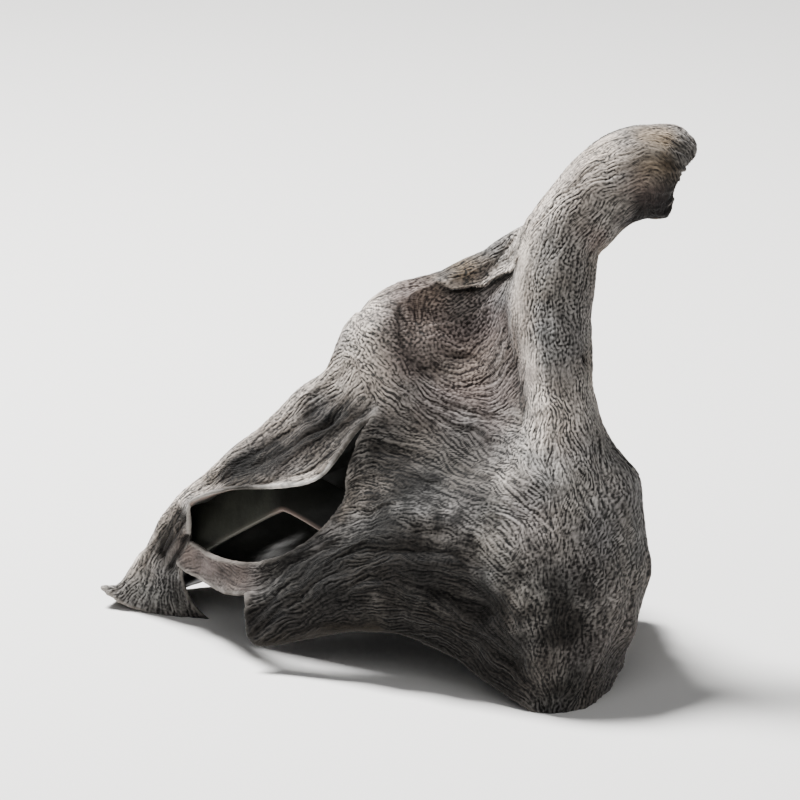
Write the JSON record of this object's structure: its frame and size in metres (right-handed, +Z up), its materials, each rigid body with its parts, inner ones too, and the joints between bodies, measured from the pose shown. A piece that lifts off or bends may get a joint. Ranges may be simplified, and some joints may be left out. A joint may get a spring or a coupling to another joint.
{
  "type": "dried wood ear mushroom",
  "caption": "Dried wood ear mushroom, one leathery hood drawn up to a hooked base, velvety grey outside and black inside, standing on its margin.",
  "frame": {"origin": "middle of the bounding box's base, on the surface it stands on", "axes": "+Z up; the belly and the hooked base's side view face -Y, and the hooked base points to +X"},
  "size_m": [0.0604, 0.0472, 0.0563],
  "materials": {
    "dried_fungus": "velvety grey outside, smooth near-black inside"
  },
  "bodies": {
    "root": {"wood_ear": "dried_fungus"}
  },
  "joints": []
}
